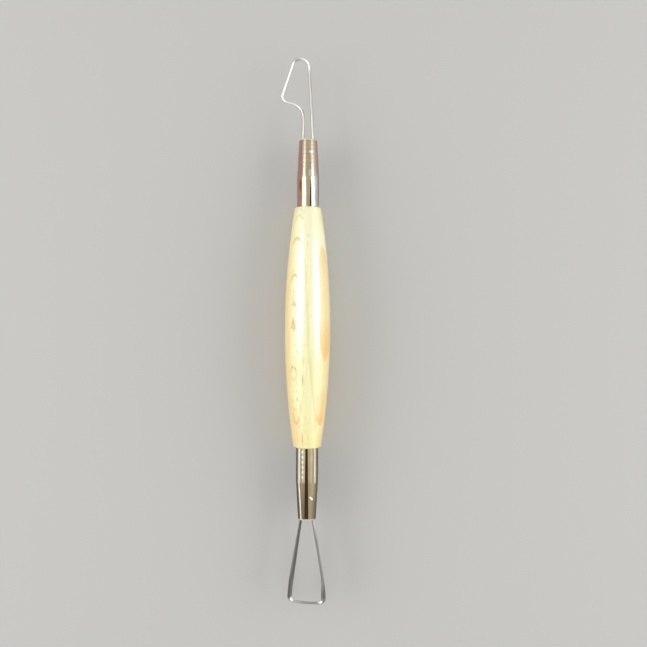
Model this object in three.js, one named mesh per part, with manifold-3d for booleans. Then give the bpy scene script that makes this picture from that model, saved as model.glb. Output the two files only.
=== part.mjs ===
// A double-ended clay trimming tool: a turned beech handle with a bent loop at each end, one of round
// wire in the shape of a beak and one of flat strip with a straight cutting bar. A rolled sheet-metal
// ferrule at each end is crimped over the handle's tenon and the two legs of the loop.
// Millimetres, +Z up. The tool lies along Y with the hook towards +Y. The origin is where the belly of
// the handle touches what it lies on.

import * as THREE from "three";
import Module from "manifold-3d";
import { mergeVertices } from "three/addons/utils/BufferGeometryUtils.js";

// Handle. The fattest place of the belly is at Y = 0, a little nearer to the trimming end.
const bellyRadius = 8.43;
const shoulderRadius = 4.97;
const bodyLength = 88.8;
const bellyOffset = 0.7;
const bellyLand = 10;
const shoulderRounding = 0.8;
const tenonRecess = 0.8;

// Ferrules: a straight sleeve next to the handle, then a taper to the mouth.
const ferruleRadius = 4.1;
const mouthRadius = 3.3;
const sheetThickness = 0.25;
const hookFerruleLength = 25;
const hookSleeveLength = 11;
const trimmingFerruleLength = 26.5;
const trimmingSleeveLength = 12.2;

// Seams, where the two edges of the rolled sheet meet. An angle is counted from straight up.
const hookSeam = { atShoulder: 0.45, atMouth: 0.15, angle: 12 };
const trimmingSeam = { atShoulder: 1.0, atMouth: 1.3, angle: 4 };

// Hook loop, of round wire. A corner has its offset from the tool's axis, its reach beyond the mouth of
// the ferrule and the radius of its bend.
const wireDiameter = 1.0;
const hookLegDepth = 21;
const beakLegInset = 0.1;
const straightLegInset = 0.45;
const crownRight = { offset: 0.1, reach: 31.3, bend: 3.1 };
const crownLeft = { offset: -5.4, reach: 29.6, bend: 2.6 };
const beakTip = { offset: -10.35, reach: 14.8, bend: 2.6 };
const throat = { offset: -2.0, reach: 12.5, bend: 5 };
const neck = { offset: -1.75, reach: 5.9, bend: 20 };

// Trimming loop, of flat strip that is narrower where it enters the ferrule. Its legs are slightly bowed
// and its cutting bar too. One of its two corners is rounder than the other.
const stripThickness = 0.85;
const stripEdge = 0.2;
const stripLegDepth = 2.0;
const stripBarDepth = 2.8;
const fullDepthReach = 12;
const trimmingLegDepth = 22;
const roundLegBow = { offset: 5.9, reach: 23.7, bend: 40 };
const roundCorner = { offset: 6.45, reach: 30.0, bend: 1.3 };
const barBow = { offset: 0, reach: 30.95, bend: 30 };
const sharpCorner = { offset: -6.3, reach: 30.95, bend: 0.8 };
const sharpLegBow = { offset: -6.05, reach: 23.7, bend: 40 };

// What fits in or on another piece keeps this gap to it. Inside a ferrule the legs bend gently.
const fit = 0.3;
const legBend = 6;

// How finely round forms are cut into flats.
const sides = 28;
const wireSides = 12;
const roundingSteps = 3;
const stationSpacing = 4.5;
const arcStep = THREE.MathUtils.degToRad(10);
const leastSetback = 0.01;
const weldDistance = 1e-4;

const wasm = await Module();
wasm.setup();

const beech = new THREE.MeshStandardMaterial({ color: 0xe3c592, roughness: 0.4, metalness: 0 });
const platedSheet = new THREE.MeshStandardMaterial({ color: 0xa39a8c, roughness: 0.3, metalness: 1 });
const springWire = new THREE.MeshStandardMaterial({ color: 0xc9c7c2, roughness: 0.3, metalness: 1 });
const flatStrip = new THREE.MeshStandardMaterial({ color: 0xb4b1ab, roughness: 0.35, metalness: 1 });

const hookShoulder = bodyLength / 2 + bellyOffset;
const trimmingShoulder = -bodyLength / 2 + bellyOffset;
const axisHeight = bellyRadius;

// One end of the tool. Inside it, Y is the distance from the mouth of the ferrule, outwards.
function endOf(shoulder, turn, ferruleLength, sleeveLength) {
  const frame = new THREE.Group();
  frame.rotation.z = turn;
  frame.position.set(0, shoulder + ferruleLength * Math.cos(turn), axisHeight);
  frame.updateMatrix();
  return { frame, length: ferruleLength, taperStart: sleeveLength - ferruleLength };
}

const hookEnd = endOf(hookShoulder, 0, hookFerruleLength, hookSleeveLength);
const trimmingEnd = endOf(trimmingShoulder, Math.PI, trimmingFerruleLength, trimmingSleeveLength);

// Outer radius of an end's ferrule at a distance from its mouth.
function ferruleRadiusAt(end, y) {
  const share = THREE.MathUtils.clamp(y / end.taperStart, 0, 1);
  return THREE.MathUtils.lerp(mouthRadius, ferruleRadius, share);
}

function boreRadiusAt(end, y) {
  return ferruleRadiusAt(end, y) - sheetThickness;
}

function tenonRadiusAt(end, y) {
  return boreRadiusAt(end, y) - fit;
}

// A body turned about Y. Its facets touch the true circle, and one of them faces straight down.
function turned(profile) {
  const touching = 1 / Math.cos(Math.PI / sides);
  const points = profile.map(([radius, y]) => new THREE.Vector2(radius * touching, y));
  return new THREE.LatheGeometry(points, sides, Math.PI / sides);
}

function solid(geometry) {
  const bare = geometry.index ? geometry.toNonIndexed() : geometry.clone();
  bare.deleteAttribute("normal");
  bare.deleteAttribute("uv");
  const merged = mergeVertices(bare, weldDistance);
  const vertProperties = merged.attributes.position.array;
  const triVerts = new Uint32Array(merged.index.array);
  return new wasm.Manifold(new wasm.Mesh({ numProp: 3, vertProperties, triVerts }));
}

function geometryOf(manifold) {
  const mesh = manifold.getMesh();
  const geometry = new THREE.BufferGeometry();
  geometry.setAttribute("position", new THREE.BufferAttribute(mesh.vertProperties, 3));
  geometry.setIndex(new THREE.BufferAttribute(mesh.triVerts, 1));
  geometry.computeVertexNormals();
  return geometry;
}

// A flat outline in the plane of the loops, as thick as asked and centred on that plane.
function plate(outline, thickness) {
  const shape = new THREE.Shape(outline.map(([x, y]) => new THREE.Vector2(x, y)));
  const geometry = new THREE.ExtrudeGeometry(shape, { depth: thickness, bevelEnabled: false });
  return geometry.translate(0, 0, -thickness / 2);
}

// The centre line of bent wire in the plane of the loops: straight runs joined by arcs. The line has a
// station at each end and along each arc, numbered evenly, so a tube along it has a ring at each. A corner
// whose run goes straight on, or whose bend is 0, is one station. Where two bends need more than the run
// between them, both are made smaller by the same share.
class BentLine extends THREE.Curve {
  constructor(corners) {
    super();
    this.places = [];
    this.headings = [];
    const points = corners.map((corner) => new THREE.Vector2(corner.offset, corner.reach));
    const lengths = points.slice(1).map((point, i) => point.distanceTo(points[i]));
    const runs = points.slice(1).map((point, i) => point.clone().sub(points[i]).normalize());
    const turns = corners.map((_, i) =>
      i === 0 || i === runs.length ? 0 : Math.atan2(runs[i - 1].cross(runs[i]), runs[i - 1].dot(runs[i])),
    );
    const setbacks = corners.map((corner, i) => (corner.bend ?? 0) * Math.tan(Math.abs(turns[i]) / 2));
    const room = lengths.map((length, i) => length / Math.max(length, setbacks[i] + setbacks[i + 1]));
    this.addStation(points[0], runs[0]);
    for (let i = 1; i < points.length - 1; i += 1) {
      const radius = (corners[i].bend ?? 0) * Math.min(room[i - 1], room[i]);
      this.addBend(points[i], radius, turns[i], runs[i - 1], runs[i]);
    }
    this.addStation(points.at(-1), runs.at(-1));
  }

  addStation(place, heading) {
    this.places.push(new THREE.Vector3(place.x, place.y, 0));
    this.headings.push(new THREE.Vector3(heading.x, heading.y, 0).normalize());
  }

  addBend(corner, radius, turn, runIn, runOut) {
    const setback = radius * Math.tan(Math.abs(turn) / 2);
    if (setback < leastSetback) {
      this.addStation(corner, runIn.clone().add(runOut));
      return;
    }
    const start = corner.clone().addScaledVector(runIn, -setback);
    const inward = new THREE.Vector2(-runIn.y, runIn.x).multiplyScalar(Math.sign(turn));
    const centre = start.clone().addScaledVector(inward, radius);
    const origin = new THREE.Vector2();
    const steps = Math.ceil(Math.abs(turn) / arcStep);
    for (let k = 0; k <= steps; k += 1) {
      const angle = (turn * k) / steps;
      this.addStation(start.clone().rotateAround(centre, angle), runIn.clone().rotateAround(origin, angle));
    }
  }

  get steps() {
    return this.places.length - 1;
  }

  getPoint(t, target = new THREE.Vector3()) {
    return target.copy(this.places[Math.round(t * this.steps)]);
  }

  getTangent(t, target = new THREE.Vector3()) {
    return target.copy(this.headings[Math.round(t * this.steps)]);
  }

  // Stations count evenly, whatever the distance between them.
  getUtoTmapping(u) {
    return u;
  }
}

function swept(section, line) {
  return new THREE.ExtrudeGeometry(section, { steps: line.steps, extrudePath: line, bevelEnabled: false });
}

// The place on the straight run between two corners that has the given reach.
function between(near, far, reach) {
  const share = (reach - near.reach) / (far.reach - near.reach);
  return { offset: THREE.MathUtils.lerp(near.offset, far.offset, share), reach };
}

function sectionOf(points) {
  return new THREE.Shape(points.map(([x, y]) => new THREE.Vector2(x, y)));
}

// The place of a leg inside its ferrule: it runs along the wall, from the mouth to the sleeve and down it.
function legPlaces(end, side, offsetAtMouth, depth) {
  const widening = boreRadiusAt(end, end.taperStart) - boreRadiusAt(end, 0);
  const offsetInSleeve = offsetAtMouth + widening;
  return {
    foot: { offset: side * offsetInSleeve, reach: -depth },
    sleeve: { offset: side * offsetInSleeve, reach: end.taperStart, bend: legBend },
    mouth: { offset: side * offsetAtMouth, reach: 0, bend: legBend },
  };
}

// The groove in the tenon that takes a leg, open towards the wall of the ferrule and at the mouth.
function legGroove(leg, width, depth) {
  const side = Math.sign(leg.mouth.offset);
  const innerAt = (place) => place.offset - side * (width / 2 + fit);
  const outer = side * (ferruleRadius + fit);
  const low = leg.foot.reach - fit;
  const outline = [
    [innerAt(leg.foot), low],
    [innerAt(leg.sleeve), leg.sleeve.reach],
    [innerAt(leg.mouth), leg.mouth.reach],
    [innerAt(leg.mouth), fit],
    [outer, fit],
    [outer, low],
  ];
  return solid(plate(outline, depth + 2 * fit));
}

// Legs of the hook loop. Each lies a little inside the wall of the ferrule.
const hookWallOffset = boreRadiusAt(hookEnd, 0) - fit - wireDiameter / 2;
const hookLegs = {
  straight: legPlaces(hookEnd, 1, hookWallOffset - straightLegInset, hookLegDepth),
  beak: legPlaces(hookEnd, -1, hookWallOffset - beakLegInset, hookLegDepth),
};

// Legs of the trimming loop. The bevelled edges of the strip keep clear of the round wall.
const trimmingClearRadius = boreRadiusAt(trimmingEnd, 0) - fit;
const trimmingWallOffset =
  Math.sqrt(trimmingClearRadius ** 2 - (stripLegDepth / 2 - stripEdge) ** 2) - stripThickness / 2;
const trimmingLegs = {
  round: legPlaces(trimmingEnd, 1, trimmingWallOffset, trimmingLegDepth),
  sharp: legPlaces(trimmingEnd, -1, trimmingWallOffset, trimmingLegDepth),
};

// Half of the handle's outline, from the shoulder of a tenon to its end.
function tenonProfile(end, shoulder, outward) {
  const mouth = shoulder + outward * end.length;
  return [
    [tenonRadiusAt(end, -end.length), shoulder],
    [tenonRadiusAt(end, end.taperStart), mouth + outward * end.taperStart],
    [tenonRadiusAt(end, -tenonRecess), mouth - outward * tenonRecess],
    [0, mouth - outward * tenonRecess],
  ];
}

// The belly is one long arc, with a short straight land where it is fattest.
function bellyProfile() {
  const rise = bellyRadius - shoulderRadius;
  const arcRadius = ((bodyLength / 2) ** 2 + rise ** 2) / (2 * rise);
  const radiusAt = (y) => bellyRadius - arcRadius + Math.sqrt(arcRadius ** 2 - y ** 2);
  const points = [];
  const addArc = (from, to) => {
    const count = Math.ceil(Math.abs(to - from) / stationSpacing);
    for (let i = 0; i <= count; i += 1) {
      const y = THREE.MathUtils.lerp(from, to, i / count);
      points.push([radiusAt(y), y]);
    }
  };
  const firstArcEnd = -bellyLand / 2 - stationSpacing;
  const secondArcStart = bellyLand / 2 + stationSpacing;
  addRoundedShoulder(points, radiusAt, trimmingShoulder, 1);
  addArc(trimmingShoulder + shoulderRounding, firstArcEnd);
  points.push([bellyRadius, -bellyLand / 2], [bellyRadius, bellyLand / 2]);
  addArc(secondArcStart, hookShoulder - shoulderRounding);
  addRoundedShoulder(points, radiusAt, hookShoulder, -1);
  return points;
}

// The edge of the end face, rounded over a quarter turn. Inward is the way to the belly.
function addRoundedShoulder(points, radiusAt, shoulder, inward) {
  const edge = radiusAt(shoulder + inward * shoulderRounding);
  const quarter = [];
  for (let i = 0; i < roundingSteps; i += 1) {
    const angle = (Math.PI / 2) * (i / roundingSteps);
    const radius = edge - shoulderRounding * (1 - Math.sin(angle));
    quarter.push([radius, shoulder + inward * shoulderRounding * (1 - Math.cos(angle))]);
  }
  points.push(...(inward > 0 ? quarter : quarter.reverse()));
}

function handle() {
  const body = solid(
    turned([
      ...tenonProfile(trimmingEnd, trimmingShoulder, -1).reverse(),
      ...bellyProfile(),
      ...tenonProfile(hookEnd, hookShoulder, 1),
    ]).translate(0, 0, axisHeight),
  );
  const grooves = [
    [hookEnd, hookLegs.straight, wireDiameter, wireDiameter],
    [hookEnd, hookLegs.beak, wireDiameter, wireDiameter],
    [trimmingEnd, trimmingLegs.round, stripThickness, stripLegDepth],
    [trimmingEnd, trimmingLegs.sharp, stripThickness, stripLegDepth],
  ];
  const cut = grooves.reduce(
    (rest, [end, leg, width, depth]) =>
      rest.subtract(legGroove(leg, width, depth).transform(end.frame.matrix.elements)),
    body,
  );
  return geometryOf(cut);
}

// A rolled sleeve. The gap between its edges widens from one end to the other.
function ferrule(end, seam) {
  const foot = fit - end.length;
  const sleeve = solid(
    turned([
      [boreRadiusAt(end, foot), foot],
      [ferruleRadiusAt(end, foot), foot],
      [ferruleRadiusAt(end, end.taperStart), end.taperStart],
      [ferruleRadiusAt(end, 0), 0],
      [boreRadiusAt(end, 0), 0],
      [boreRadiusAt(end, end.taperStart), end.taperStart],
      [boreRadiusAt(end, foot), foot],
    ]),
  );
  const past = sheetThickness;
  const widening = (seam.atMouth - seam.atShoulder) / end.length;
  const halfAt = (y) => (seam.atMouth + widening * y) / 2;
  const low = -end.length - past;
  const outline = [
    [-halfAt(low), low],
    [halfAt(low), low],
    [halfAt(past), past],
    [-halfAt(past), past],
  ];
  const height = Math.max(ferruleRadius, mouthRadius) + past;
  const gap = plate(outline, height)
    .translate(0, 0, height / 2)
    .rotateY(THREE.MathUtils.degToRad(seam.angle));
  return geometryOf(sleeve.subtract(solid(gap)));
}

function hookLoop() {
  const section = sectionOf(
    Array.from({ length: wireSides }, (_, i) => {
      const angle = ((i + 0.5) * 2 * Math.PI) / wireSides;
      const radius = wireDiameter / 2;
      return [radius * Math.cos(angle), radius * Math.sin(angle)];
    }),
  );
  const { straight, beak } = hookLegs;
  const upStraight = [straight.foot, straight.sleeve, straight.mouth];
  const roundTheBeak = [crownRight, crownLeft, beakTip, throat, neck];
  const downBeak = [beak.mouth, beak.sleeve, beak.foot];
  return swept(section, new BentLine([...upStraight, ...roundTheBeak, ...downBeak]));
}

// The strip is as thick everywhere. Its depth grows from the mouth of the ferrule outwards.
function trimmingLoop() {
  const halfDepth = stripBarDepth / 2;
  const halfThickness = stripThickness / 2;
  const section = sectionOf([
    [-halfDepth, -halfThickness + stripEdge],
    [-halfDepth + stripEdge, -halfThickness],
    [halfDepth - stripEdge, -halfThickness],
    [halfDepth, -halfThickness + stripEdge],
    [halfDepth, halfThickness - stripEdge],
    [halfDepth - stripEdge, halfThickness],
    [-halfDepth + stripEdge, halfThickness],
    [-halfDepth, halfThickness - stripEdge],
  ]);
  const { round, sharp } = trimmingLegs;
  const upRound = [round.foot, round.sleeve, round.mouth, between(round.mouth, roundLegBow, fullDepthReach)];
  const roundTheBar = [roundLegBow, roundCorner, barBow, sharpCorner, sharpLegBow];
  const downSharp = [between(sharp.mouth, sharpLegBow, fullDepthReach), sharp.mouth, sharp.sleeve, sharp.foot];
  const geometry = swept(section, new BentLine([...upRound, ...roundTheBar, ...downSharp]));
  const position = geometry.attributes.position;
  for (let i = 0; i < position.count; i += 1) {
    const share = THREE.MathUtils.clamp(position.getY(i) / fullDepthReach, 0, 1);
    const depth = THREE.MathUtils.lerp(stripLegDepth, stripBarDepth, share);
    position.setZ(i, (position.getZ(i) * depth) / stripBarDepth);
  }
  return geometry;
}

function named(name, geometry, material) {
  const mesh = new THREE.Mesh(geometry, material);
  mesh.name = name;
  return mesh;
}

const tool = new THREE.Group();
tool.add(named("handle", handle(), beech));
hookEnd.frame.add(named("hook_ferrule", ferrule(hookEnd, hookSeam), platedSheet));
hookEnd.frame.add(named("hook_loop", hookLoop(), springWire));
trimmingEnd.frame.add(named("trimming_ferrule", ferrule(trimmingEnd, trimmingSeam), platedSheet));
trimmingEnd.frame.add(named("trimming_loop", trimmingLoop(), flatStrip));
tool.add(hookEnd.frame, trimmingEnd.frame);

export default tool;
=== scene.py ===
# A double-ended clay trimming tool: turned beech handle, rolled metal ferrules, a beaked loop of round wire
# at one end and a loop of flat strip at the other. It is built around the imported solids, in their frame.
# Metres, +Z up. The tool lies along Y with the hook towards +Y. Lengths below are written in millimetres.

import math

import bmesh
import bpy
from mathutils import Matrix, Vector


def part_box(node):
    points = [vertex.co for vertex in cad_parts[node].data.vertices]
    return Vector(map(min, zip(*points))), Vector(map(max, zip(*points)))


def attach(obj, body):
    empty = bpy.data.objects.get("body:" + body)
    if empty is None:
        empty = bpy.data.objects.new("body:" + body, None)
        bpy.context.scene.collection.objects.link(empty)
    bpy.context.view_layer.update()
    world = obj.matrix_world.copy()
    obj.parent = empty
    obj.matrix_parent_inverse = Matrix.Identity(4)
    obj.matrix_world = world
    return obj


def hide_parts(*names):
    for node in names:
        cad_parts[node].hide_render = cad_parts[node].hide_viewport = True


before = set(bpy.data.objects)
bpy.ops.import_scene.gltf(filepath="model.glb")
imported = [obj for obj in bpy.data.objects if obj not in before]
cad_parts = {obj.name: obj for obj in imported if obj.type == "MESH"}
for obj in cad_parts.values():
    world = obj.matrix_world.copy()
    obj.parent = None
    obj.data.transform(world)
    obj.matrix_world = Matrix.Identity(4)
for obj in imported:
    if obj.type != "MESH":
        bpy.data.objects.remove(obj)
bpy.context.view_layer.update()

mm = 0.001

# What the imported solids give.
handle_low, handle_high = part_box("handle")
hook_ferrule_low, hook_ferrule_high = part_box("hook_ferrule")
trimming_ferrule_low, trimming_ferrule_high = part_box("trimming_ferrule")
belly_radius = (handle_high.z - handle_low.z) / 2
axis_height = (handle_high.z + handle_low.z) / 2
ferrule_radius = (hook_ferrule_high.x - hook_ferrule_low.x) / 2

# Meshes. Edges sharper than the two angles, in degrees, are shaded as edges.
same_place = 0.001 * mm
sharp_angle = 40
sheet_sharp_angle = 50

# Handle.
shoulder_radius = 4.97 * mm
shoulder_rounding = 0.7 * mm
shoulder_step = math.radians(11)
tenon_recess = 0.3 * mm
tenon_chamfer = 0.3 * mm
handle_sides = 144
handle_station = 0.9 * mm

# Ferrules.
mouth_radius = 3.3 * mm
sheet_thickness = 0.25 * mm
hook_sleeve_length = 11.0 * mm
trimming_sleeve_length = 12.2 * mm
fit = 0.3 * mm
seat_gap = 0.04 * mm
sheet_columns = 168
sheet_station = 0.3 * mm
rim_step = math.radians(18)
least_rim = 0.1

# Seams and outlines of the two ferrules. Angles count from straight up towards the end's own +x, and an
# outline of 2 is round, more is squarer. The hook's seam opens from one place on, by a power of the way.
hook_seam_angle = math.radians(14.8)
hook_seam_gap = 0.06 * mm
hook_seam_widening = 0.56 * mm
hook_seam_start = -15.0 * mm
hook_seam_power = 0.7
hook_outline = 2.04
trimming_seam_angle = math.radians(1.6)
trimming_gap_at_mouth = 1.45 * mm
trimming_gap_at_shoulder = 0.85 * mm
trimming_outline = 2.4

# Marks on the hook ferrule. A place is (distance around from straight up, distance beyond the mouth), and
# a reach is where something starts and where it is full, as distances beyond the mouth.
bump_place = (0.6 * mm, -4.9 * mm)
bump_half = (0.8 * mm, 0.45 * mm)
bump_height = 0.035 * mm
ring_mark_place = (0.83 * mm, -14.0 * mm)
ring_mark_radius = 0.5 * mm
ring_mark_width = 0.2 * mm
ring_mark_height = 0.05 * mm
wave_height = 0.012 * mm
wave_length = 2 * math.pi * 1.9 * mm
wave_phase = 0.6
bead_height = 0.007 * mm
bead_spacing = 1.6 * mm
bead_reach = (-12 * mm, -8 * mm)

# Marks on the trimming ferrule. Ridges and the crease lie at angles that grow towards -X. The other angles
# are in degrees from straight up towards +X, tooth places are distances beyond the mouth, and the nick's
# are an angle, a Y, the radius there and the slant of the cut.
left_ridge_angle = 43.5
left_ridge_drift = 4.5
left_drift_reach = (-15 * mm, -1 * mm)
right_ridge_angle = -46.5
right_ridge_reach = (-13 * mm, -17 * mm)
ridge_width = 5
ridge_height = 0.09 * mm
crease_angle = -33
crease_width = 2
crease_depth = 0.03 * mm
crease_reach = (-13 * mm, -15 * mm)
tooth_angle = -21.0
tooth_places = [(-25.15 + 1.85 * k) * mm for k in range(6)]
tooth_half = (0.4 * mm, 0.5 * mm)
tooth_height = 0.02 * mm
nick_angle = 23.8
nick_y = -61.96 * mm
nick_radius = 3.76 * mm
nick_slant = math.radians(47)
nick_half = (0.7 * mm, 0.25 * mm)
nick_height = 0.03 * mm

# Hook loop. A corner is (offset from the axis, reach beyond the ferrule's mouth, radius of the bend).
wire_diameter = 1.0 * mm
hook_leg_depth = 21 * mm
beak_leg_inset = 0.1 * mm
straight_leg_inset = 0.45 * mm
leg_bend = 6 * mm
hook_corners = (
    (0.1 * mm, 31.3 * mm, 3.1 * mm),
    (-5.4 * mm, 29.6 * mm, 2.6 * mm),
    (-10.35 * mm, 14.8 * mm, 2.6 * mm),
    (-2.0 * mm, 12.5 * mm, 5 * mm),
    (-1.75 * mm, 5.9 * mm, 20 * mm),
)
wire_sides = 24

# Trimming loop, in the same form.
strip_thickness = 0.85 * mm
strip_edge = 0.2 * mm
strip_edge_steps = 3
strip_leg_depth = 2.0 * mm
strip_bar_depth = 2.8 * mm
full_depth_reach = 12 * mm
trimming_leg_depth = 22 * mm
trimming_corners = (
    (5.9 * mm, 23.7 * mm, 40 * mm),
    (6.45 * mm, 30.4 * mm, 1.5 * mm),
    (0, 31.36 * mm, 30 * mm),
    (-6.3 * mm, 31.36 * mm, 1.3 * mm),
    (-6.05 * mm, 23.7 * mm, 40 * mm),
)
# How far the strip's lower edge lies outside its upper one, and between which reaches that changes. It
# fades out over a short way inside the ferrule. Left is towards -X.
left_lean_at_mouth = 0.25 * mm
left_lean_gain = 0.75 * mm
left_lean_reach = 26 * mm
right_lean_at_mouth = -0.45 * mm
right_lean_reach = 23 * mm
right_corner_lean = 1.0 * mm
right_corner_reach = (22 * mm, 28.5 * mm)
lean_fade = 4 * mm


def clamped(value):
    return min(max(value, 0), 1)


def fade(value, none_at, full_at):
    share = clamped((value - none_at) / (full_at - none_at))
    return share * share * (3 - 2 * share)


class End:
    """One end of the tool. Its own x and b are the offset from the axis and the distance beyond the mouth."""

    def __init__(self, mouth, shoulder, sleeve_length):
        self.mouth = mouth
        self.shoulder = shoulder
        self.outward = 1 if mouth > shoulder else -1
        self.length = abs(mouth - shoulder)
        self.taper_start = sleeve_length - self.length

    def place(self, x, b, z=0.0):
        return Vector((self.outward * x, self.mouth + self.outward * b, axis_height + z))

    def outer_radius(self, b):
        share = clamped(b / self.taper_start)
        return mouth_radius + (ferrule_radius - mouth_radius) * share

    def bore_radius(self, b):
        return self.outer_radius(b) - sheet_thickness

    def tenon_radius(self, b):
        return self.bore_radius(b) - fit


hook_end = End(hook_ferrule_high.y, hook_ferrule_low.y - fit, hook_sleeve_length)
trimming_end = End(trimming_ferrule_low.y, trimming_ferrule_high.y + fit, trimming_sleeve_length)


# Meshes.


def piece_from(name, points, faces, sharp_above=sharp_angle):
    """A mesh object with merged doubles, outward faces, and smooth shading except over sharp edges."""
    mesh = bpy.data.meshes.new(name)
    mesh.from_pydata([tuple(p) for p in points], [], faces)
    work = bmesh.new()
    work.from_mesh(mesh)
    bmesh.ops.remove_doubles(work, verts=work.verts, dist=same_place)
    bmesh.ops.recalc_face_normals(work, faces=work.faces)
    work.to_mesh(mesh)
    work.free()
    mesh.shade_smooth()
    mesh.set_sharp_from_angle(angle=math.radians(sharp_above))
    piece = bpy.data.objects.new(name, mesh)
    bpy.context.scene.collection.objects.link(piece)
    return piece


def spaced(start, end, spacing):
    """Numbers from start to end, both included, at most the spacing apart."""
    count = max(1, math.ceil(abs(end - start) / spacing))
    return [start + (end - start) * i / count for i in range(count + 1)]


def joined_rings(rings):
    """Quads between closed rings that all have the same number of points."""
    size = len(rings[0])
    faces = []
    for start in range(0, size * (len(rings) - 1), size):
        for i in range(size):
            j = (i + 1) % size
            faces.append((start + i, start + j, start + size + j, start + size + i))
    return faces


def lathe(profile, sides):
    """Points and faces of a body turned about the tool's axis. The profile ends on the axis at both ends."""
    rings = []
    for radius, y in profile[1:-1]:
        angles = (2 * math.pi * i / sides for i in range(sides))
        rings.append([Vector((radius * math.sin(a), y, axis_height + radius * math.cos(a))) for a in angles])
    points = [p for ring in rings for p in ring]
    faces = joined_rings(rings)
    last = len(points) - sides
    points.append(Vector((0, profile[0][1], axis_height)))
    points.append(Vector((0, profile[-1][1], axis_height)))
    for i in range(sides):
        j = (i + 1) % sides
        faces.append((len(points) - 2, j, i))
        faces.append((len(points) - 1, last + i, last + j))
    return points, faces


def bent_line(corners, spacing=0.8 * mm, arc_step=math.radians(4)):
    """Stations (place, heading) along straight runs joined by arcs, in the plane of a loop."""
    points = [Vector(corner[:2]) for corner in corners]
    runs = [(b - a).normalized() for a, b in zip(points, points[1:])]
    bends = []
    for i in range(1, len(points) - 1):
        turn = runs[i - 1].angle_signed(runs[i])
        bends.append((-turn, corners[i][2] * math.tan(abs(turn) / 2), corners[i][2]))
    stations = []
    start = points[0]
    for i, (turn, setback, radius) in enumerate(bends):
        corner = points[i + 1]
        arc_start = corner - runs[i] * setback
        add_run(stations, start, arc_start, runs[i], spacing)
        add_arc(stations, arc_start, runs[i], turn, radius, arc_step)
        start = corner + runs[i + 1] * setback
    add_run(stations, start, points[-1], runs[-1], spacing)
    stations.append((points[-1], runs[-1]))
    return stations


def add_run(stations, start, end, heading, spacing):
    for distance in spaced(0, (end - start).length, spacing)[:-1]:
        stations.append((start + heading * distance, heading))


def add_arc(stations, start, heading, turn, radius, arc_step):
    inward = Vector((-heading.y, heading.x)) * math.copysign(1, turn)
    centre = start + inward * radius
    for angle in spaced(0, turn, arc_step)[:-1]:
        stations.append((centre + turned(start - centre, angle), turned(heading, angle)))


def turned(vector, angle):
    c, s = math.cos(angle), math.sin(angle)
    return Vector((c * vector.x - s * vector.y, s * vector.x + c * vector.y))


def swept(name, end, stations, section_at):
    """A tube along the stations. section_at(i) gives points as (distance outward in the plane, height)."""
    rings = []
    for i, (place, heading) in enumerate(stations):
        outward = Vector((heading.y, -heading.x))
        ring = []
        for out, height in section_at(i):
            at = place + outward * out
            ring.append(end.place(at.x, at.y, height))
        rings.append(ring)
    size = len(rings[0])
    points = [p for ring in rings for p in ring]
    faces = joined_rings(rings)
    faces.append(tuple(range(size)))
    faces.append(tuple(len(points) - size + i for i in range(size)))
    return piece_from(name, points, faces)


# Handle.


def belly_radius_at(y):
    """One arc, fattest over the origin."""
    half = (hook_end.shoulder - trimming_end.shoulder) / 2
    rise = belly_radius - shoulder_radius
    arc = (half**2 + rise**2) / (2 * rise)
    return belly_radius - arc + math.sqrt(arc**2 - y**2)


def tenon_profile(end):
    """From the middle of the tenon's end to the foot of the shoulder."""
    tip = -tenon_recess
    stations = [tip - tenon_chamfer, end.taper_start, -end.length]
    outline = [(0, tip), (end.tenon_radius(tip) - tenon_chamfer, tip)]
    outline += [(end.tenon_radius(b), b) for b in stations]
    return [(radius, end.mouth + end.outward * b) for radius, b in outline]


def shoulder_profile(end):
    """The rounded edge of the handle's end face, from the face to the belly."""
    inner = end.shoulder - end.outward * shoulder_rounding
    edge = belly_radius_at(inner)
    profile = []
    for angle in spaced(0, math.pi / 2, shoulder_step):
        radius = edge - shoulder_rounding * (1 - math.sin(angle))
        profile.append((radius, end.shoulder - end.outward * shoulder_rounding * (1 - math.cos(angle))))
    return profile


def groove_cutter(end, leg, width, depth):
    """A solid that leaves room for one leg of a loop in the tenon."""
    side = math.copysign(1, leg[0][0])
    foot, sleeve, mouth = leg
    inner = [place[0] - side * (width / 2 + fit / 2) for place in leg]
    outer = side * (ferrule_radius + fit)
    low = foot[1] - fit
    outline = [
        (inner[0], low),
        (inner[1], sleeve[1]),
        (inner[2], mouth[1]),
        (inner[2], fit),
        (outer, fit),
        (outer, low),
    ]
    half = depth / 2 + fit / 2
    rings = [[end.place(x, b, z) for x, b in outline] for z in (-half, half)]
    points = rings[0] + rings[1]
    faces = joined_rings(rings)
    corners = len(outline)
    faces.append(tuple(range(corners)))
    faces.append(tuple(range(corners, 2 * corners)))
    return points, faces


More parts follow.
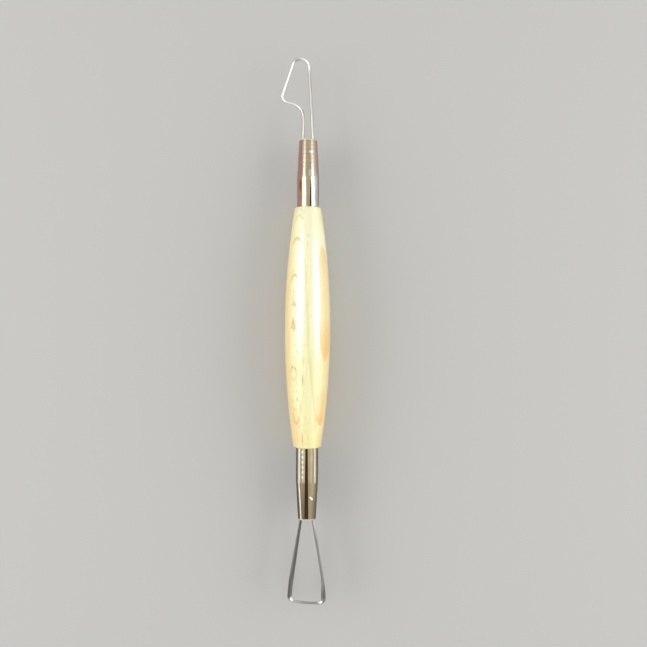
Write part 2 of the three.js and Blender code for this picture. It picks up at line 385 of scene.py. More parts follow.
def handle():
    """The turned body, with grooves in its tenons for the legs of the loops."""
    low, high = trimming_end.shoulder + shoulder_rounding, hook_end.shoulder - shoulder_rounding
    belly = [(belly_radius_at(y), y) for y in spaced(low, high, handle_station)]
    profile = tenon_profile(trimming_end) + shoulder_profile(trimming_end) + belly[1:-1]
    profile += list(reversed(tenon_profile(hook_end) + shoulder_profile(hook_end)))
    piece = piece_from("beech_handle", *lathe(profile, handle_sides))
    grooves = [(hook_end, leg, wire_diameter, wire_diameter) for leg in hook_legs]
    grooves += [(trimming_end, leg, strip_thickness, strip_leg_depth) for leg in trimming_legs]
    points, faces = [], []
    for groove in grooves:
        corners, sides = groove_cutter(*groove)
        faces += [tuple(len(points) + i for i in side) for side in sides]
        points += corners
    cutters = piece_from("cutters", points, faces)
    cut = piece.modifiers.new("grooves", "BOOLEAN")
    cut.operation = "DIFFERENCE"
    cut.solver = "EXACT"
    cut.object = cutters
    apply_modifiers(piece)
    bpy.data.objects.remove(cutters)
    piece.data.set_sharp_from_angle(angle=math.radians(sharp_angle))
    return piece


def on_tenon(centre):
    return centre.y > hook_end.shoulder + seat_gap or centre.y < trimming_end.shoulder - seat_gap


def apply_modifiers(piece):
    shaped = bpy.data.meshes.new_from_object(piece.evaluated_get(bpy.context.evaluated_depsgraph_get()))
    piece.modifiers.clear()
    piece.data = shaped


# Ferrules.


def rounded_square(angle, exponent):
    """Radius, for a half width of 1, of a circle (exponent 2) or of a squarer outline (more than 2)."""
    return (abs(math.sin(angle)) ** exponent + abs(math.cos(angle)) ** exponent) ** (-1 / exponent)


def hump(distance, width):
    return math.exp(-((distance / width) ** 2))


def ferrule(name, end, seam_angle, gap_at, exponent, relief):
    """Rolled sheet with an open seam. Angles count from straight up towards the end's own +x."""
    foot = seat_gap - end.length
    half = sheet_thickness / 2
    rim = [-half * (1 - math.sin(a)) for a in spaced(0, math.pi / 2, rim_step)]
    rows = spaced(foot, end.taper_start, sheet_station) + spaced(end.taper_start, -half, sheet_station)[1:-1]
    rows += rim
    rings = []
    for b in rows:
        past = max(0.0, b + half) / half
        rounding = max(least_rim, math.sqrt(max(0.0, 1 - past**2)))
        middle = end.outer_radius(b) - half
        opening = gap_at(b) / 2 / end.outer_radius(b)
        sweep = 2 * (math.pi - opening)
        outer, inner = [], []
        for column in range(sheet_columns):
            angle = seam_angle + opening + sweep * column / (sheet_columns - 1)
            shape = rounded_square(angle, exponent) * middle + relief(angle, b)
            outer.append(sheet_point(end, angle, b, shape + half * rounding))
            inner.append(sheet_point(end, angle, b, shape - half * rounding))
        rings.append(outer + list(reversed(inner)))
    points = [p for ring in rings for p in ring]
    faces = joined_rings(rings)
    size = len(rings[0])
    for ring_start in (0, len(points) - size):
        for i in range(sheet_columns - 1):
            a, b = ring_start + i, ring_start + i + 1
            c, d = ring_start + size - 2 - i, ring_start + size - 1 - i
            faces.append((a, b, c, d))
    return piece_from(name, points, faces, sheet_sharp_angle)


def sheet_point(end, angle, b, radius):
    return end.place(radius * math.sin(angle), b, radius * math.cos(angle))


def hook_gap(b):
    """Almost closed over the taper, then it opens towards the handle."""
    share = clamped((b - hook_seam_start) / (-hook_end.length - hook_seam_start))
    return hook_seam_gap + hook_seam_widening * share**hook_seam_power


def dent(around, b, centre, half):
    """A soft bump of height 1 over an ellipse of the unrolled sheet."""
    return hump(math.hypot((around - centre[0]) / half[0], (b - centre[1]) / half[1]), 1)


def hook_relief(angle, b):
    """A pressed bump, a ring-shaped mark, a slight wave and small beads near the mouth."""
    bend = math.remainder(angle, 2 * math.pi)
    around = bend * ferrule_radius
    bump = bump_height * dent(around, b, bump_place, bump_half)
    from_centre = math.hypot(around - ring_mark_place[0], b - ring_mark_place[1])
    ring = ring_mark_height * hump(from_centre - ring_mark_radius, ring_mark_width)
    wave = wave_height * math.sin(2 * math.pi * b / wave_length) * math.sin(2 * bend + wave_phase)
    beads = bead_height * math.sin(2 * math.pi * b / bead_spacing) * fade(b, *bead_reach)
    return bump + ring + wave + beads


def trimming_gap(b):
    """Widens evenly towards the mouth."""
    share = -b / trimming_end.length
    return trimming_gap_at_mouth + (trimming_gap_at_shoulder - trimming_gap_at_mouth) * share


def trimming_relief(angle, b):
    """Angles here grow towards -X. Two long ridges, a row of tooth marks, a crease and a nick."""
    bend = math.remainder(angle, 2 * math.pi)
    degrees = math.degrees(bend)
    around = bend * ferrule_radius
    left_ridge = left_ridge_angle - left_ridge_drift * fade(b, *left_drift_reach)
    right_ridge = hump(degrees - right_ridge_angle, ridge_width) * fade(b, *right_ridge_reach)
    ridges = ridge_height * (hump(degrees - left_ridge, ridge_width) + right_ridge)
    crease = -crease_depth * hump(degrees - crease_angle, crease_width) * fade(b, *crease_reach)
    teeth = 0.0
    for tooth in tooth_places:
        centre = (-math.radians(tooth_angle) * ferrule_radius, tooth)
        teeth += tooth_height * dent(around, b, centre, tooth_half)
    from_nick = Vector((b - (trimming_end.mouth - nick_y), (bend + math.radians(nick_angle)) * nick_radius))
    along, across = turned(from_nick, nick_slant)
    nick = nick_height * hump(along, nick_half[0]) * hump(across, nick_half[1])
    return ridges + crease + teeth + nick


# Loops.


def leg_places(end, side, offset_at_mouth, depth):
    widening = end.bore_radius(end.taper_start) - end.bore_radius(0)
    in_sleeve = offset_at_mouth + widening
    return (
        (side * in_sleeve, -depth, 0),
        (side * in_sleeve, end.taper_start, leg_bend),
        (side * offset_at_mouth, 0, leg_bend),
    )


hook_wall = hook_end.bore_radius(0) - fit - wire_diameter / 2
hook_legs = (
    leg_places(hook_end, 1, hook_wall - straight_leg_inset, hook_leg_depth),
    leg_places(hook_end, -1, hook_wall - beak_leg_inset, hook_leg_depth),
)
trimming_clear = trimming_end.bore_radius(0) - fit
trimming_wall = math.sqrt(trimming_clear**2 - (strip_leg_depth / 2 - strip_edge) ** 2) - strip_thickness / 2
trimming_legs = [leg_places(trimming_end, side, trimming_wall, trimming_leg_depth) for side in (1, -1)]


def hook_loop():
    stations = bent_line([*hook_legs[0], *hook_corners, *reversed(hook_legs[1])])
    angles = [2 * math.pi * i / wire_sides for i in range(wire_sides)]
    section = [(wire_diameter / 2 * math.cos(a), wire_diameter / 2 * math.sin(a)) for a in angles]
    return swept("hook_wire", hook_end, stations, lambda i: section)


def strip_outline(depth):
    """The rounded outline of the strip, as (across its thickness, along its depth)."""
    outline = []
    centres = ((1, 1), (-1, 1), (-1, -1), (1, -1))
    for quarter, (across, along) in enumerate(centres):
        x = across * (strip_thickness / 2 - strip_edge)
        z = along * (depth / 2 - strip_edge)
        for k in range(strip_edge_steps + 1):
            angle = math.pi / 2 * (quarter + k / strip_edge_steps)
            outline.append((x + strip_edge * math.cos(angle), z + strip_edge * math.sin(angle)))
    return outline


def strip_lean(place):
    """How far the lower edge lies outside the upper one. The end's own +x is towards -X."""
    x, b = place
    if x > 0:
        return left_lean_at_mouth + left_lean_gain * fade(b, 0, left_lean_reach)
    on_leg = right_lean_at_mouth * (1 - fade(b, 0, right_lean_reach))
    return on_leg + right_corner_lean * fade(b, *right_corner_reach)


def trimming_loop():
    stations = bent_line([*trimming_legs[0], *trimming_corners, *reversed(trimming_legs[1])])

    def section_at(i):
        place = stations[i][0]
        share = clamped(place.y / full_depth_reach)
        depth = strip_leg_depth + (strip_bar_depth - strip_leg_depth) * share
        inside = clamped(1 + place.y / lean_fade)
        tilt = math.asin(strip_lean(place) / depth) * inside
        c, s = math.cos(tilt), math.sin(tilt)
        return [(c * across - s * along, s * across + c * along) for across, along in strip_outline(depth)]

    return swept("trimming_strip", trimming_end, stations, section_at)


# Materials.


class Graph:
    """
    A material's nodes, with one short call for each kind. Places are in millimetres, and angles in degrees
    from straight up towards +X.
    """

    def __init__(self, name):
        self.material = bpy.data.materials.new(name)
        self.material.use_nodes = True
        self.nodes = self.material.node_tree.nodes
        self.links = self.material.node_tree.links
        self.shader = self.nodes["Principled BSDF"]
        coordinates = self.add("ShaderNodeTexCoord").outputs["Object"]
        self.place = self.vector("SCALE", coordinates, Scale=1 / mm)
        split = self.add("ShaderNodeSeparateXYZ", {"Vector": self.place})
        self.x, self.y = split.outputs["X"], split.outputs["Y"]
        self.up = self.minus(split.outputs["Z"], axis_height / mm)
        turn = self.calc("ARCTAN2", self.x, self.up)
        self.angle = self.calc("MULTIPLY", turn, 180 / math.pi)

    def add(self, kind, inputs=None, **settings):
        node = self.nodes.new(kind)
        for key, value in settings.items():
            setattr(node, key, value)
        for key, value in (inputs or {}).items():
            self.feed(node.inputs[key], value)
        return node

    def feed(self, socket, value):
        if isinstance(value, bpy.types.NodeSocket):
            self.links.new(value, socket)
        else:
            socket.default_value = value

    def wired(self, node, values):
        """Feeds a node's inputs in their order and gives its first output."""
        for socket, value in zip(node.inputs, values):
            self.feed(socket, value)
        return node.outputs[0]

    def surface(self, inputs):
        """Feeds the shader's own inputs and gives the material."""
        for key, value in inputs.items():
            self.feed(self.shader.inputs[key], value)
        return self.material

    def calc(self, operation, *values):
        return self.wired(self.add("ShaderNodeMath", operation=operation), values)

    def vector(self, operation, *values, **named):
        return self.wired(self.add("ShaderNodeVectorMath", named, operation=operation), values)

    def chain(self, operation, total, *others):
        """The values one after another through the same operation."""
        for other in others:
            total = self.calc(operation, total, other)
        return total

    def plus(self, *values):
        return self.chain("ADD", *values)

    def minus(self, *values):
        return self.chain("SUBTRACT", *values)

    def times(self, *values):
        return self.chain("MULTIPLY", *values)

    def most(self, *values):
        return self.chain("MAXIMUM", *values)

    def stretch(self, *scale):
        return self.vector("MULTIPLY", self.place, scale)

    def noise(self, scale, detail=2.0, roughness=0.5):
        inputs = {"Vector": self.stretch(*scale), "Scale": 1.0, "Detail": detail, "Roughness": roughness}
        return self.add("ShaderNodeTexNoise", inputs).outputs[0]

    def shake(self, scale, amount, detail=2.0):
        """Noise around 0, at most about half the amount each way."""
        return self.times(self.minus(self.noise(scale, detail), 0.5), amount)

    def smooth(self, value, low, high):
        """0 at low and below, 1 at high and beyond, smooth between."""
        node = self.add("ShaderNodeMapRange", interpolation_type="SMOOTHSTEP")
        return self.wired(node, (value, low, high))

    def band(self, value, low, high, edge):
        """1 between low and high, with soft edges that reach that far outwards."""
        return self.times(self.smooth(value, low - edge, low), self.smooth(value, high + edge, high))

    def blend(self, factor, a, b):
        """Colour a at 0 and b at 1. A mix node's colours are its inputs 6 and 7 and its output 2."""
        return self.add("ShaderNodeMix", {0: factor, 6: a, 7: b}, data_type="RGBA").outputs[2]

    def layers(self, colour, *coats):
        """Blends further colours over the first one, each by its own factor."""
        for factor, coat in coats:
            colour = self.blend(factor, colour, coat)
        return colour

    def relief(self, height, distance, strength):
        """Bends the light as relief of the given height would."""
        inputs = {"Height": height, "Distance": distance, "Strength": strength}
        self.surface({"Normal": self.add("ShaderNodeBump", inputs).outputs[0]})

    def dashes(self, scale, width, share):
        """Short marks, one in some of the cells of a stretched lattice."""
        cells = self.add("ShaderNodeTexVoronoi", {"Vector": self.stretch(*scale), "Scale": 1.0})
        mark = self.smooth(cells.outputs["Distance"], width, width * 0.4)
        lot = self.add("ShaderNodeSeparateColor", {"Color": cells.outputs["Color"]}).outputs["Red"]
        return self.times(mark, self.calc("LESS_THAN", lot, share))

    def flat(self, u, v):
        """Two values as a place in their own plane."""
        return self.add("ShaderNodeCombineXYZ", {"X": u, "Y": v}).outputs[0]

    def distance(self, place, centre, half):
        """How far a flat place is from the centre of an ellipse: 1 on its outline."""
        scale = (1 / half[0], 1 / half[1], 0)
        offset = (-centre[0] / half[0], -centre[1] / half[1], 0)
        scaled = self.vector("MULTIPLY_ADD", place, scale, offset)
        return self.add("ShaderNodeVectorMath", {"Vector": scaled}, operation="LENGTH").outputs["Value"]


def rgb(red, green, blue):
    """A colour given as it looks on a screen, 0 to 255, as the linear values that a shader takes."""
    linear = []
    for value in (red, green, blue):
        share = value / 255
        linear.append(share / 12.92 if share <= 0.04045 else ((share + 0.055) / 1.055) ** 2.4)
    return (*linear, 1.0)


# The rings of the wood lie square to this direction, in degrees from straight up towards +X.
ring_direction = -39
ring_bow_radius = 55
ring_sharpness = 7.0
ring_depths = (-7.4, -6.2, -5.1, -3.9, -2.8, -1.5, -0.2, 1.3, 2.7, 3.9, 4.8, 5.3, 6.75, 7.87, 8.33)

# Places on the handle are (degrees from straight up towards +X, Y), half sizes likewise.
# Ring lines that close near the surface: place, half size, strength of the upper and of the lower half.
pale_ring_lines = (
    ((-36, 42.3), (18, 2.0), 0.5, 0.0),
    ((-34, 39.6), (17, 2.1), 0.6, 0.0),
    ((-34.5, 30.8), (15.5, 2.6), 0.9, 0.0),
    ((-35, 17.3), (12, 2.5), 0.9, 0.0),
    ((-36, 7.2), (8, 1.7), 0.25, 0.2),
    ((-38.5, -16.0), (11.5, 2.4), 0.0, 0.4),
)
deep_ring_lines = (
    ((-38.5, -15.9), (9.5, 2.3), 1.0, 0.15),
    ((-37, -31.7), (11, 2.7), 0.2, 0.9),
)
# Filled marks that run to a point above: angle, Y of foot and of point, half width at the foot, strength.
pointed_marks = (
    (-36.8, 0.6, 4.9, 8.5, 1.0),
    (-36.2, 8.8, 10.8, 7.0, 0.85),
)
# Thin lines and flecks along the grain: angle, lower Y, upper Y, strength.
grain_lines = (
    (-17.2, -43.4, -37.0, 1.0),
    (-18.7, -31.4, -25.8, 0.55),
    (-11.3, -20.8, -16.0, 0.85),
    (-9.6, -13.4, -9.8, 0.4),
    (-15.6, -6.2, -3.0, 0.35),
    (-51.5, -9.0, -1.0, 0.3),
    (-5.3, 10.0, 28.0, 0.2),
    (2.2, 33.4, 34.7, 0.55),
    (1.0, 29.4, 32.4, 0.4),
    (-23.6, 35.0, 36.0, 0.5),
    (-19.0, 25.5, 29.0, 0.25),
    (-24.5, 22.2, 24.0, 0.8),
    (-24.5, 14.3, 15.8, 0.55),
    (-41.0, 21.0, 21.8, 0.4),
    (-38.3, 13.2, 14.2, 0.5),
    (-38.0, 11.8, 12.6, 0.4),
    (-35.0, -0.7, 0.5, 0.85),
    (-35.5, -2.4, -1.6, 0.4),
    (-33.0, -6.2, -5.4, 0.4),
    (-26.0, -8.6, -7.4, 0.5),
    (-33.6, -10.7, -9.9, 0.45),
    (-30.0, -20.4, -18.6, 0.35),
    (-40.0, -22.8, -22.0, 0.4),
    (-28.6, -22.8, -21.9, 0.55),
    (-45.6, -26.6, -25.5, 0.6),
    (-28.9, -26.2, -24.8, 0.9),
    (-47.0, -28.8, -28.0, 0.5),
    (-39.4, -29.8, -29.0, 0.55),
    (-27.3, -36.3, -34.7, 0.75),
    (-41.0, -38.4, -36.4, 0.4),
    (-35.0, -41.2, -39.0, 0.4),
    (-4.0, -34.0, -31.5, 0.35),
    (3.5, -41.0, -38.0, 0.35),
)
# Warm lens-shaped patches: angle of the inner edge, of the outer edge and of the tips, Y of the middle,
# half length, strength, what the upper end adds.
warm_patches = (
    (31, 78, 50, 9.4, 21.5, 1.0, 0.2),
    (26, 62, 50, -27.8, 7.6, 1.25, -0.4),
    (37, 72, 54, -41.3, 3.0, 0.45, 0.0),
)


def ring_ramp(g, depth):
    """Darkens over each ring up to its edge and starts light again after it."""
    before_first, after_last = 1.2, 0.8
    low, high = ring_depths[0] - before_first, ring_depths[-1] + after_last
    share = g.add("ShaderNodeMapRange", {"Value": depth, "From Min": low, "From Max": high}).outputs[0]
    ramp = g.add("ShaderNodeValToRGB", {"Fac": share})
    stops = ramp.color_ramp.elements
    edge = 0.03
    places = []
    for ring in ring_depths:
        places += [((ring - edge - low) / (high - low), 1.0), ((ring + edge - low) / (high - low), 0.0)]
    stops[0].position, stops[0].color = places[0][0], (1, 1, 1, 1)
    stops[1].position, stops[1].color = places[-1][0], (0, 0, 0, 1)
    for position, level in places[1:-1]:
        stop = stops.new(position)
        stop.color = (level, level, level, 1)
    return ramp.outputs["Color"]


def ring_pattern(g):
    """Growth rings through the whole blank, fainter in places."""
    tilt = math.radians(ring_direction)
    depth = g.plus(g.times(g.x, math.sin(tilt)), g.times(g.up, math.cos(tilt)))
    across = g.minus(g.times(g.x, math.cos(tilt)), g.times(g.up, math.sin(tilt)))
    bow = g.times(across, across, 1 / (2 * ring_bow_radius))
    unrest = g.plus(g.shake((0.22, 0.035, 0.22), 0.9), g.shake((1.3, 0.16, 1.3), 0.2))
    rings = g.calc("POWER", ring_ramp(g, g.plus(depth, bow, unrest)), ring_sharpness)
    return g.times(rings, g.smooth(g.noise((0.9, 0.22, 0.9)), 0.36, 0.62))


def ring_arches(g, place, y, ring_lines):
    total = 0.0
    for centre, half, upper, lower in ring_lines:
        from_line = g.calc("ABSOLUTE", g.minus(g.distance(place, centre, half), 1.0))
        side = g.smooth(y, centre[1] - 0.3 * half[1], centre[1] + 0.5 * half[1])
        strength = g.plus(g.times(side, upper - lower), lower)
        total = g.most(total, g.times(g.smooth(from_line, 0.38, 0.05), strength))
    return g.times(total, g.plus(g.times(g.smooth(g.noise((2.4, 1.1, 2.4)), 0.3, 0.6), 0.6), 0.4))


def fine_lines(g):
    """Each line is a thin cone as high as its strength, and the highest shows."""
    place = g.flat(g.angle, g.y)
    nearest = 1.0
    for angle, low, high, strength in grain_lines:
        half = (1.7 + 2.0 * strength, (high - low) / 2 + 0.5)
        distance = g.distance(place, (angle, (low + high) / 2), half)
        nearest = g.calc("MINIMUM", nearest, g.calc("MULTIPLY_ADD", distance, strength, 1.0 - strength))
    return g.minus(1.0, nearest)


def filled_marks(g, angle, y):
    """Marks that run to a point above and open into two feet below."""
    total = 0.0
    for middle, foot, point, half_width, strength in pointed_marks:
        share = g.calc("DIVIDE", g.minus(point, y), point - foot)
        offset = g.calc("ABSOLUTE", g.minus(angle, middle))
        inside = g.smooth(g.minus(g.times(share, half_width), offset), -2.0, 3.0)
        between_feet = g.times(g.smooth(share, 0.5, 1.0), g.smooth(offset, 0.6 * half_width, 0.0), 0.5)
        mark = g.times(inside, g.minus(1.0, between_feet), g.band(y, foot, point, 0.6), strength)
        total = g.most(total, mark)
    return total


def patches(g, angle, y):
    """Lens-shaped warm patches, deepest at their lower ends and soft along their inner edges."""
    total = 0.0
    outwards = g.times(g.smooth(angle, 36.0, 54.0), 0.3)
    for inner, outer, tip, middle, half, strength, upper_end in warm_patches:
        along = g.calc("DIVIDE", g.minus(y, middle), half)
        narrowing = g.calc("POWER", g.calc("ABSOLUTE", along), 5.0)
        past_inner = g.minus(angle, inner, g.times(narrowing, tip - inner))
        past_outer = g.minus(angle, outer, g.times(narrowing, tip - outer))
        inside = g.times(g.smooth(past_inner, -3.0, 4.0), g.smooth(past_outer, 5.0, -4.0))
        low_end = g.times(g.smooth(along, -0.1, -0.85), 0.5)
        ends = g.plus(low_end, g.times(g.smooth(along, 0.3, 0.95), upper_end))
        depth = g.plus(ends, outwards, 0.22)
        total = g.most(total, g.times(inside, depth, strength))
    return g.calc("MINIMUM", g.times(total, g.plus(g.shake((2.4, 0.12, 2.4), 0.9, 3.0), 1.0)), 1.0)


def slanting_line(g, angle):
    """A ring's edge that leaves the middle of the handle and slants towards +X lower down."""
    top, foot, edge = 7.0, -35.0, 6.0
    start_y, start_angle, slope, curve = 5.0, -1.5, 0.3, 0.0105
    fall = g.most(g.minus(start_y, g.y), 0.0)
    course = g.plus(g.times(fall, g.plus(g.times(fall, curve), slope)), start_angle)
    past = g.minus(angle, course)
    line = g.times(g.smooth(past, -2.5, 0.0), g.smooth(past, 9.0, 0.5))
    return g.times(line, g.band(g.y, foot, top, edge), g.smooth(g.noise((0.6, 0.12, 0.6)), 0.25, 0.6))


def wood_ground(g, angle):
    """The wood between its marks: pale, yellower lower down, warm on the left and at places on the right."""
    broad = g.noise((0.35, 0.02, 0.35), 3.0, 0.6)
    left_start = g.minus(g.times(g.smooth(g.y, -22.0, -38.0), 20.0), 30.0)
    left = g.smooth(g.minus(left_start, angle), 0.0, 32.0)
    left = g.times(left, g.plus(g.times(g.smooth(g.y, 33.0, 12.0), 0.35), 0.65))
    ends = g.plus(g.times(g.smooth(g.y, 6.0, -8.0), 0.8), g.times(g.smooth(g.y, 36.0, 42.0), 0.45))
    right = g.times(g.smooth(angle, 34.0, 62.0), ends)
    lower_half = g.smooth(g.y, 8.0, -26.0)
    lower_end = g.smooth(g.y, -26.0, -42.0)
    clouds = g.times(g.smooth(broad, 0.42, 0.72), 0.3)
    return g.layers(
        rgb(254, 252, 208),
        (lower_half, rgb(254, 250, 190)),
        (lower_end, rgb(254, 245, 173)),
        (clouds, rgb(253, 240, 172)),
        (g.most(left, right), rgb(251, 223, 155)),
    )


def wood_flecks(g, angle, far_side):
    """Short marks all over, more of them on the left of the upper side and most on the far side."""
    flecks = g.dashes((1.9, 0.4, 1.9), 0.27, 0.3)
    fine = g.dashes((3.4, 0.6, 3.4), 0.28, 0.45)
    left_side = g.plus(g.times(g.band(angle, -62.0, -8.0, 12.0), 0.5), 0.5)
    scattered = g.most(g.times(flecks, 0.32, left_side), g.times(fine, 0.24))
    return g.times(scattered, g.plus(g.times(far_side, 1.5), 1.0))


def beech():
    """Lacquered wood. Its grain shows more on the flanks and below, away from the upper side's gloss."""
    g = Graph("beech")
    angle = g.plus(g.angle, g.shake((1.1, 0.16, 1.1), 7.0, 3.0))
    y = g.plus(g.y, g.shake((1.6, 0.6, 1.6), 0.9))
    place = g.flat(angle, y)
    far_side = g.smooth(g.calc("ABSOLUTE", g.angle), 66.0, 98.0)
    streak = g.noise((4.2, 0.13, 4.2), 4.0, 0.65)
    scattered = wood_flecks(g, angle, far_side)
    streaks = g.times(g.smooth(streak, 0.5, 0.8), g.plus(g.times(far_side, 0.3), 0.35))
    rings = g.times(ring_pattern(g), g.plus(g.times(far_side, 0.42), 0.38))
    colour = g.layers(
        wood_ground(g, angle),
        (patches(g, angle, y), rgb(252, 203, 124)),
        (streaks, rgb(238, 214, 148)),
        (g.times(slanting_line(g, angle), 0.55), rgb(232, 214, 138)),
        (rings, rgb(222, 196, 124)),
        (g.times(ring_arches(g, place, y, pale_ring_lines), 0.8), rgb(204, 184, 112)),
        (g.times(ring_arches(g, place, y, deep_ring_lines), 0.95), rgb(232, 176, 100)),
        (filled_marks(g, angle, y), rgb(238, 184, 112)),
        (g.most(scattered, fine_lines(g)), rgb(196, 170, 100)),
    )
    roughness = g.plus(g.times(streak, 0.1), 0.27)
    g.relief(g.minus(g.times(streak, 0.5), g.times(scattered, 0.8)), 0.015 * mm, 0.4)
    lacquer = {"Coat Weight": 1.0, "Coat Roughness": 0.13, "Coat IOR": 1.7}
    return g.surface({"Base Color": colour, "Roughness": roughness, **lacquer})


def bare_beech_painted_shade():
    """The unlacquered tenons, painted dark brown for the shade inside the ferrules that shows through their
    open seams.
    """
    g = Graph("bare_beech_painted_shade")
    streak = g.noise((3.0, 0.2, 3.0), 4.0, 0.65)
    # Painted shade: these dark browns stand for the shadow inside the ferrules.
    colour = g.blend(streak, rgb(64, 39, 15), rgb(100, 66, 31))
    g.relief(streak, 0.05 * mm, 0.6)
    return g.surface({"Base Color": colour, "Roughness": 0.8, "Specular IOR Level": 0.2})


def sheet_base(name, metal, dull, least_roughness):
    """Thin plating: fine lines along the tube, uneven gloss and small pits."""
    g = Graph(name)
    lines = g.noise((9.0, 0.25, 9.0), 3.0, 0.6)
    cloud = g.noise((0.5, 0.3, 0.5), 4.0, 0.6)
    dull_lines = g.times(g.smooth(lines, 0.5, 0.8), 0.3)
    colour = g.layers(metal, (g.smooth(cloud, 0.35, 0.7), dull), (dull_lines, dull))
    pits = g.dashes((2.6, 1.6, 2.6), 0.22, 0.35)
    height = g.minus(g.times(lines, 0.3), g.times(pits, 0.6))
    g.relief(height, 0.02 * mm, 0.3)
    roughness = g.plus(g.times(cloud, 0.2), least_roughness)
    return g, colour, roughness


def finish_sheet(g, colour, roughness, polish_and_highlight):
    """Polished places are smooth, and their colour is painted pale as a highlight."""
    # Painted highlight: the polished places are blended towards a pale colour.
    colour = g.blend(polish_and_highlight, colour, rgb(250, 243, 228))
    roughness = g.most(g.minus(roughness, g.times(polish_and_highlight, 0.4)), 0.12)
    return g.surface({"Base Color": colour, "Roughness": roughness, "Metallic": 1.0})


def spot(g, centre, half):
    """A soft spot on a sleeve, 1 in its middle. Its centre and half size are (angle, Y)."""
    return g.smooth(g.distance(g.flat(g.angle, g.y), centre, half), 1.27, 0.6)


def mouth_edge(g, end):
    """1 at the very mouth of a ferrule."""
    start, full = (end.mouth / mm - end.outward * inside for inside in (0.45, 0.25))
    return g.smooth(g.y, start, full)


def hook_painted_reflections_and_shade(g, colour, edge, dull_and_shaded_mouth):
    """Painted reflections of what the upper ferrule's sheet mirrors: reddish left, pinkish or silver right,
    greyer at the edges; and painted shade at the mouth, along the highlight's borders and on the seam's lip.
    """
    angle = g.plus(g.angle, g.shake((0.9, 0.45, 0.9), 14.0, 3.0))
    on_taper = g.smooth(g.y, 55.0, 58.5)
    streak = g.smooth(g.noise((6.0, 0.3, 6.0), 3.0), 0.35, 0.65)
    silver_reflection = g.blend(streak, rgb(246, 244, 240), rgb(198, 196, 192))
    # Painted shade along both borders of the left highlight, which narrows it.
    from_shine = g.calc("ABSOLUTE", g.plus(g.angle, 20.0))
    shaded_shine_edges = g.times(g.smooth(from_shine, 5.0, 8.0), g.smooth(from_shine, 13.0, 9.5))
    # Painted shade on the seam's right lip, deeper towards the handle.
    seam_lip_shade = g.times(g.band(g.angle, 16.5, 20.5, 1.5), g.smooth(g.y, 60.0, 47.0))
    # Painted reflections: silver or pinkish right, reddish left with a red stripe and spot, greyer edges.
    right = g.smooth(angle, 27.0, 41.0)
    left = g.smooth(angle, -24.0, -35.0)
    red_stripe_reflection = g.times(g.band(angle, -43.0, -34.0, 5.0), 0.6)
    red_spot_reflection = g.times(spot(g, (-41.0, 53.0), (8.0, 2.3)), 0.8)
    edge_painted_reflection = g.blend(g.smooth(g.angle, -10.0, 10.0), rgb(206, 188, 178), rgb(164, 158, 148))
    return g.layers(
        colour,
        (right, g.blend(on_taper, silver_reflection, rgb(208, 186, 173))),
        (left, rgb(194, 156, 142)),
        (red_stripe_reflection, rgb(162, 112, 100)),
        (red_spot_reflection, rgb(140, 80, 72)),
        (g.times(edge, 0.8), edge_painted_reflection),
        (g.times(dull_and_shaded_mouth, 0.8), rgb(172, 158, 136)),
        (g.times(shaded_shine_edges, 0.7), rgb(134, 122, 114)),
        (seam_lip_shade, rgb(100, 97, 84)),
    )


def hook_sheet():
    """Polished, with painted highlights, at the pressed bump, at a rubbed place beside the seam and at the
    rim.
    """
    g, colour, roughness = sheet_base("plated_sheet_hook", rgb(180, 168, 143), rgb(168, 155, 130), 0.1)
    beside = g.calc("ABSOLUTE", g.angle)
    # Rougher flanks, whose colour also takes a painted greyer reflection.
    edge = g.smooth(beside, 54.0, 68.0)
    # Rougher near the mouth on both sides of the top, with a painted duller shade there.
    dull_and_shaded_mouth = g.times(g.band(beside, 12.0, 34.0, 4.0), g.smooth(g.y, 58.0, 66.0))
    # Painted highlights at the bump, beside the seam and at the rim.
    bump = g.times(spot(g, (19.0, 65.3), (14.0, 0.55)), 0.8)
    rubbed_highlight = g.times(spot(g, (11.0, 57.4), (7.0, 1.5)), 0.45)
    polish_and_highlight = g.most(bump, rubbed_highlight, g.times(mouth_edge(g, hook_end), 0.85))
    roughness = g.plus(roughness, g.times(g.plus(dull_and_shaded_mouth, edge), 0.15))
    return finish_sheet(g, hook_painted_reflections_and_shade(g, colour, edge, dull_and_shaded_mouth), roughness, polish_and_highlight)


def trimming_painted_reflections_and_shade(g, colour, angle, on_sleeve):
    """Painted reflections of what the lower ferrule's sheet mirrors, tan beside the seam and darker further
    from it, and painted shade, dark in its creases and on its flanks.
    """
    # Painted reflections: darker on the taper and near the mouth, darker left of the seam, lighter there on
    # the sleeve.
    on_taper = g.smooth(g.y, -55.8, -57.0)
    near_mouth = g.smooth(g.y, -58.0, -66.5)
    left = g.layers(rgb(132, 115, 94), (on_sleeve, rgb(166, 157, 138)), (near_mouth, rgb(106, 95, 78)))
    # Painted shade in the two creases on the sleeve and on both flanks.
    crease_shade = g.most(g.band(angle, 30.0, 34.0, 2.0), g.band(angle, -31.0, -27.0, 2.0))
    flank_shade = g.most(g.smooth(angle, -50.0, -58.0), g.smooth(angle, 51.0, 62.0))
    right_of_seam = g.smooth(angle, 18.0, 34.0)
    left_of_seam = g.smooth(angle, 0.0, -8.0)
    return g.layers(
        colour,
        (g.times(on_taper, 0.5), rgb(146, 133, 110)),
        (g.times(near_mouth, right_of_seam, 0.7), rgb(124, 114, 96)),
        (g.times(left_of_seam, 0.9), left),
        (g.times(crease_shade, on_sleeve, 0.85), rgb(112, 98, 76)),
        (g.times(flank_shade, 0.85), rgb(112, 104, 94)),
    )


